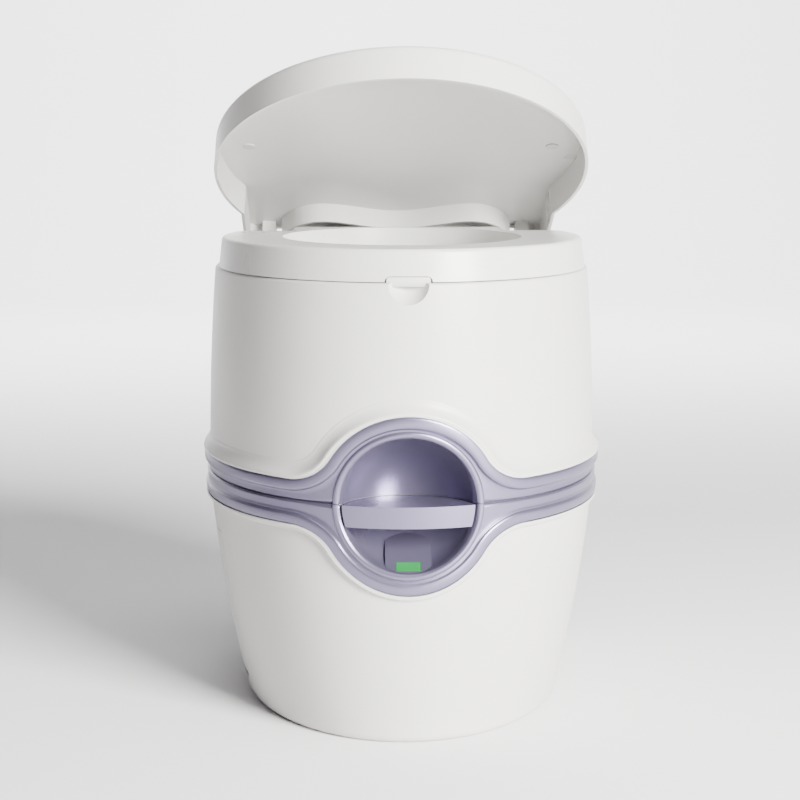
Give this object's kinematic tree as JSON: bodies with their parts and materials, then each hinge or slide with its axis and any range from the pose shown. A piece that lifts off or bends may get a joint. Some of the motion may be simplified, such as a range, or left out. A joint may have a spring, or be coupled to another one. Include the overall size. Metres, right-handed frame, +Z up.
{
  "type": "portable camp toilet",
  "caption": "Portable camp toilet: oval seat and lid on a flush section with bowl, standing on a holding tank with a pull-out slide valve in a round scoop.",
  "frame": {"origin": "on the floor, in the middle of the plan of the trim band round the parting line", "axes": "+Z up, the front with the valve handle faces -Y, +X to the right seen from behind the front"},
  "size_m": [0.3882, 0.4503, 0.6183],
  "materials": {
    "body_white": "satin moulded",
    "trim_lavender": "satin moulded",
    "inner_grey": "satin moulded",
    "bowl_white": "gloss moulded",
    "seal_rubber": "matte",
    "steel": "drawn",
    "pin_plastic": "satin moulded",
    "lens_clear": "clear moulded",
    "flag_green": "moulded",
    "float_foam": "moulded foam",
    "spout_grey": "satin moulded"
  },
  "bodies": {
    "waste_section": {"waste_tank": "body_white", "latch_catch": "body_white", "lower_band": "trim_lavender", "valve_housing": "inner_grey", "lip_seal": "seal_rubber", "blade_seal": "seal_rubber", "housing_screws": "steel", "indicator_panel": "trim_lavender", "indicator_lens": "lens_clear", "float_pin": "steel", "spout_seal": "seal_rubber", "roll_pin": "steel"},
    "valve": {"valve_blade": "inner_grey", "valve_handle": "trim_lavender", "handle_screws": "steel"},
    "level_float": {"float_arm": "inner_grey", "float": "float_foam", "indicator_flag": "flag_green"},
    "spout": {"pour_spout": "spout_grey"},
    "spout_closure": {"spout_cap": "trim_lavender", "cap_seal": "seal_rubber"},
    "vent": {"vent_button": "trim_lavender", "vent_spring": "seal_rubber"},
    "roll_holder": {"roll_door": "body_white", "roll_spindle": "pin_plastic"},
    "flush_section": {"flush_tank": "body_white", "bowl": "bowl_white", "upper_band": "trim_lavender", "pump_barrel": "inner_grey", "filler_neck": "body_white", "hinge_posts": "pin_plastic", "hinge_pins": "pin_plastic", "flush_nozzle": "inner_grey", "feed_tube": "inner_grey", "latch_ears": "body_white", "latch_pin": "steel"},
    "pump": {"pump_knob": "trim_lavender", "pump_piston": "inner_grey", "pump_spring": "steel"},
    "filler": {"fill_cap": "trim_lavender"},
    "latch": {"latch_lever": "trim_lavender"},
    "seat": {"seat_ring": "body_white", "seat_bumpers": "seal_rubber"},
    "cover": {"lid": "body_white", "lid_bumpers": "seal_rubber"}
  },
  "joints": [
    {"name": "valve_slide", "type": "slide", "parent": "waste_section", "child": "valve", "axis": [0, -1, 0], "range_m": [0, 0.115]},
    {"name": "float_swing", "type": "hinge", "parent": "waste_section", "child": "level_float", "pos_m": [0, -0.19, 0.148], "axis": [1, 0, 0], "range_deg": [0, 12]},
    {"name": "spout_swing", "type": "hinge", "parent": "waste_section", "child": "spout", "pos_m": [-0.118, 0.15, 0.2], "axis": [0, 0, 1], "range_deg": [0, 90]},
    {"name": "spout_cap_off", "type": "slide", "parent": "spout", "child": "spout_closure", "axis": [1, 0, 0], "range_m": [0, 0.02]},
    {"name": "vent_press", "type": "slide", "parent": "waste_section", "child": "vent", "axis": [0, 0, 1], "range_m": [-0.003, 0], "stiffness_N_per_m": 400, "springref_m": 0.002, "deforming": ["vent_spring"]},
    {"name": "roll_door_hinge", "type": "hinge", "parent": "waste_section", "child": "roll_holder", "pos_m": [-0.1505, 0.04, 0.03], "axis": [0, -1, 0], "range_deg": [0, 50]},
    {"name": "flush_section_lift", "type": "slide", "parent": "waste_section", "child": "flush_section", "axis": [0, 0, 1], "range_m": [0, 0.2]},
    {"name": "pump_press", "type": "slide", "parent": "flush_section", "child": "pump", "axis": [0, 0, 1], "range_m": [-0.015, 0], "stiffness_N_per_m": 300, "springref_m": 0.006, "deforming": ["pump_spring"]},
    {"name": "fill_cap_off", "type": "slide", "parent": "flush_section", "child": "filler", "axis": [0, 0, 1], "range_m": [0, 0.02]},
    {"name": "latch_swing", "type": "hinge", "parent": "flush_section", "child": "latch", "pos_m": [0.08, 0.2216, 0.252], "axis": [1, 0, 0], "range_deg": [0, 35]},
    {"name": "seat_hinge", "type": "hinge", "parent": "flush_section", "child": "seat", "pos_m": [0, 0.205, 0.424], "axis": [1, 0, 0], "range_deg": [-70, 0]},
    {"name": "lid_hinge", "type": "hinge", "parent": "seat", "child": "cover", "pos_m": [0, 0.205, 0.424], "axis": [-1, 0, 0], "range_deg": [-24.5, 70]}
  ]
}
